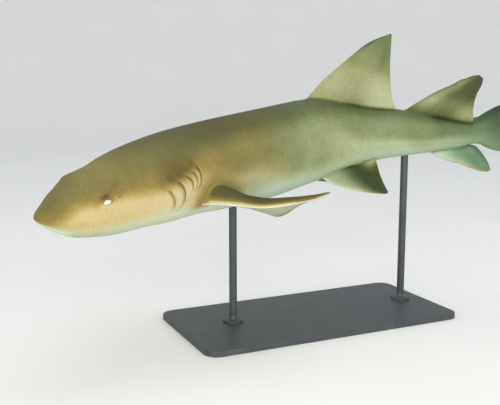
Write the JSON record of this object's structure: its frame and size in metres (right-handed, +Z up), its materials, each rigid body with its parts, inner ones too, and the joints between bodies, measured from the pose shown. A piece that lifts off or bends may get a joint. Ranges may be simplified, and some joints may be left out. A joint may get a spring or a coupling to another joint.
{
  "type": "nurse shark model",
  "caption": "Life-size nurse shark in a gentle swimming curve, held over a flat base plate by upright rods.",
  "frame": {"origin": "on the floor, at the middle of the box of the whole model", "axes": "+X from the snout towards the tail, -Y out of the shark's left side, +Z up"},
  "size_m": [2.2121, 0.7209, 0.9745],
  "materials": {
    "skin": "fine satin hide, olive brown above and cream below",
    "eye": "wet gloss, pale iris with a dark slit",
    "stand": "fine satin dark grey paint"
  },
  "bodies": {
    "root": {"head": "skin", "trunk": "skin", "tail": "skin", "caudal_fin": "skin", "dorsal_fin_first": "skin", "dorsal_fin_second": "skin", "anal_fin": "skin", "pectoral_fin_left": "skin", "pectoral_fin_right": "skin", "pelvic_fin_left": "skin", "pelvic_fin_right": "skin", "barbel_left": "skin", "barbel_right": "skin", "eye_left": "eye", "eye_right": "eye", "stand_base": "stand", "stand_rod_front": "stand", "stand_rod_rear": "stand"}
  },
  "joints": []
}
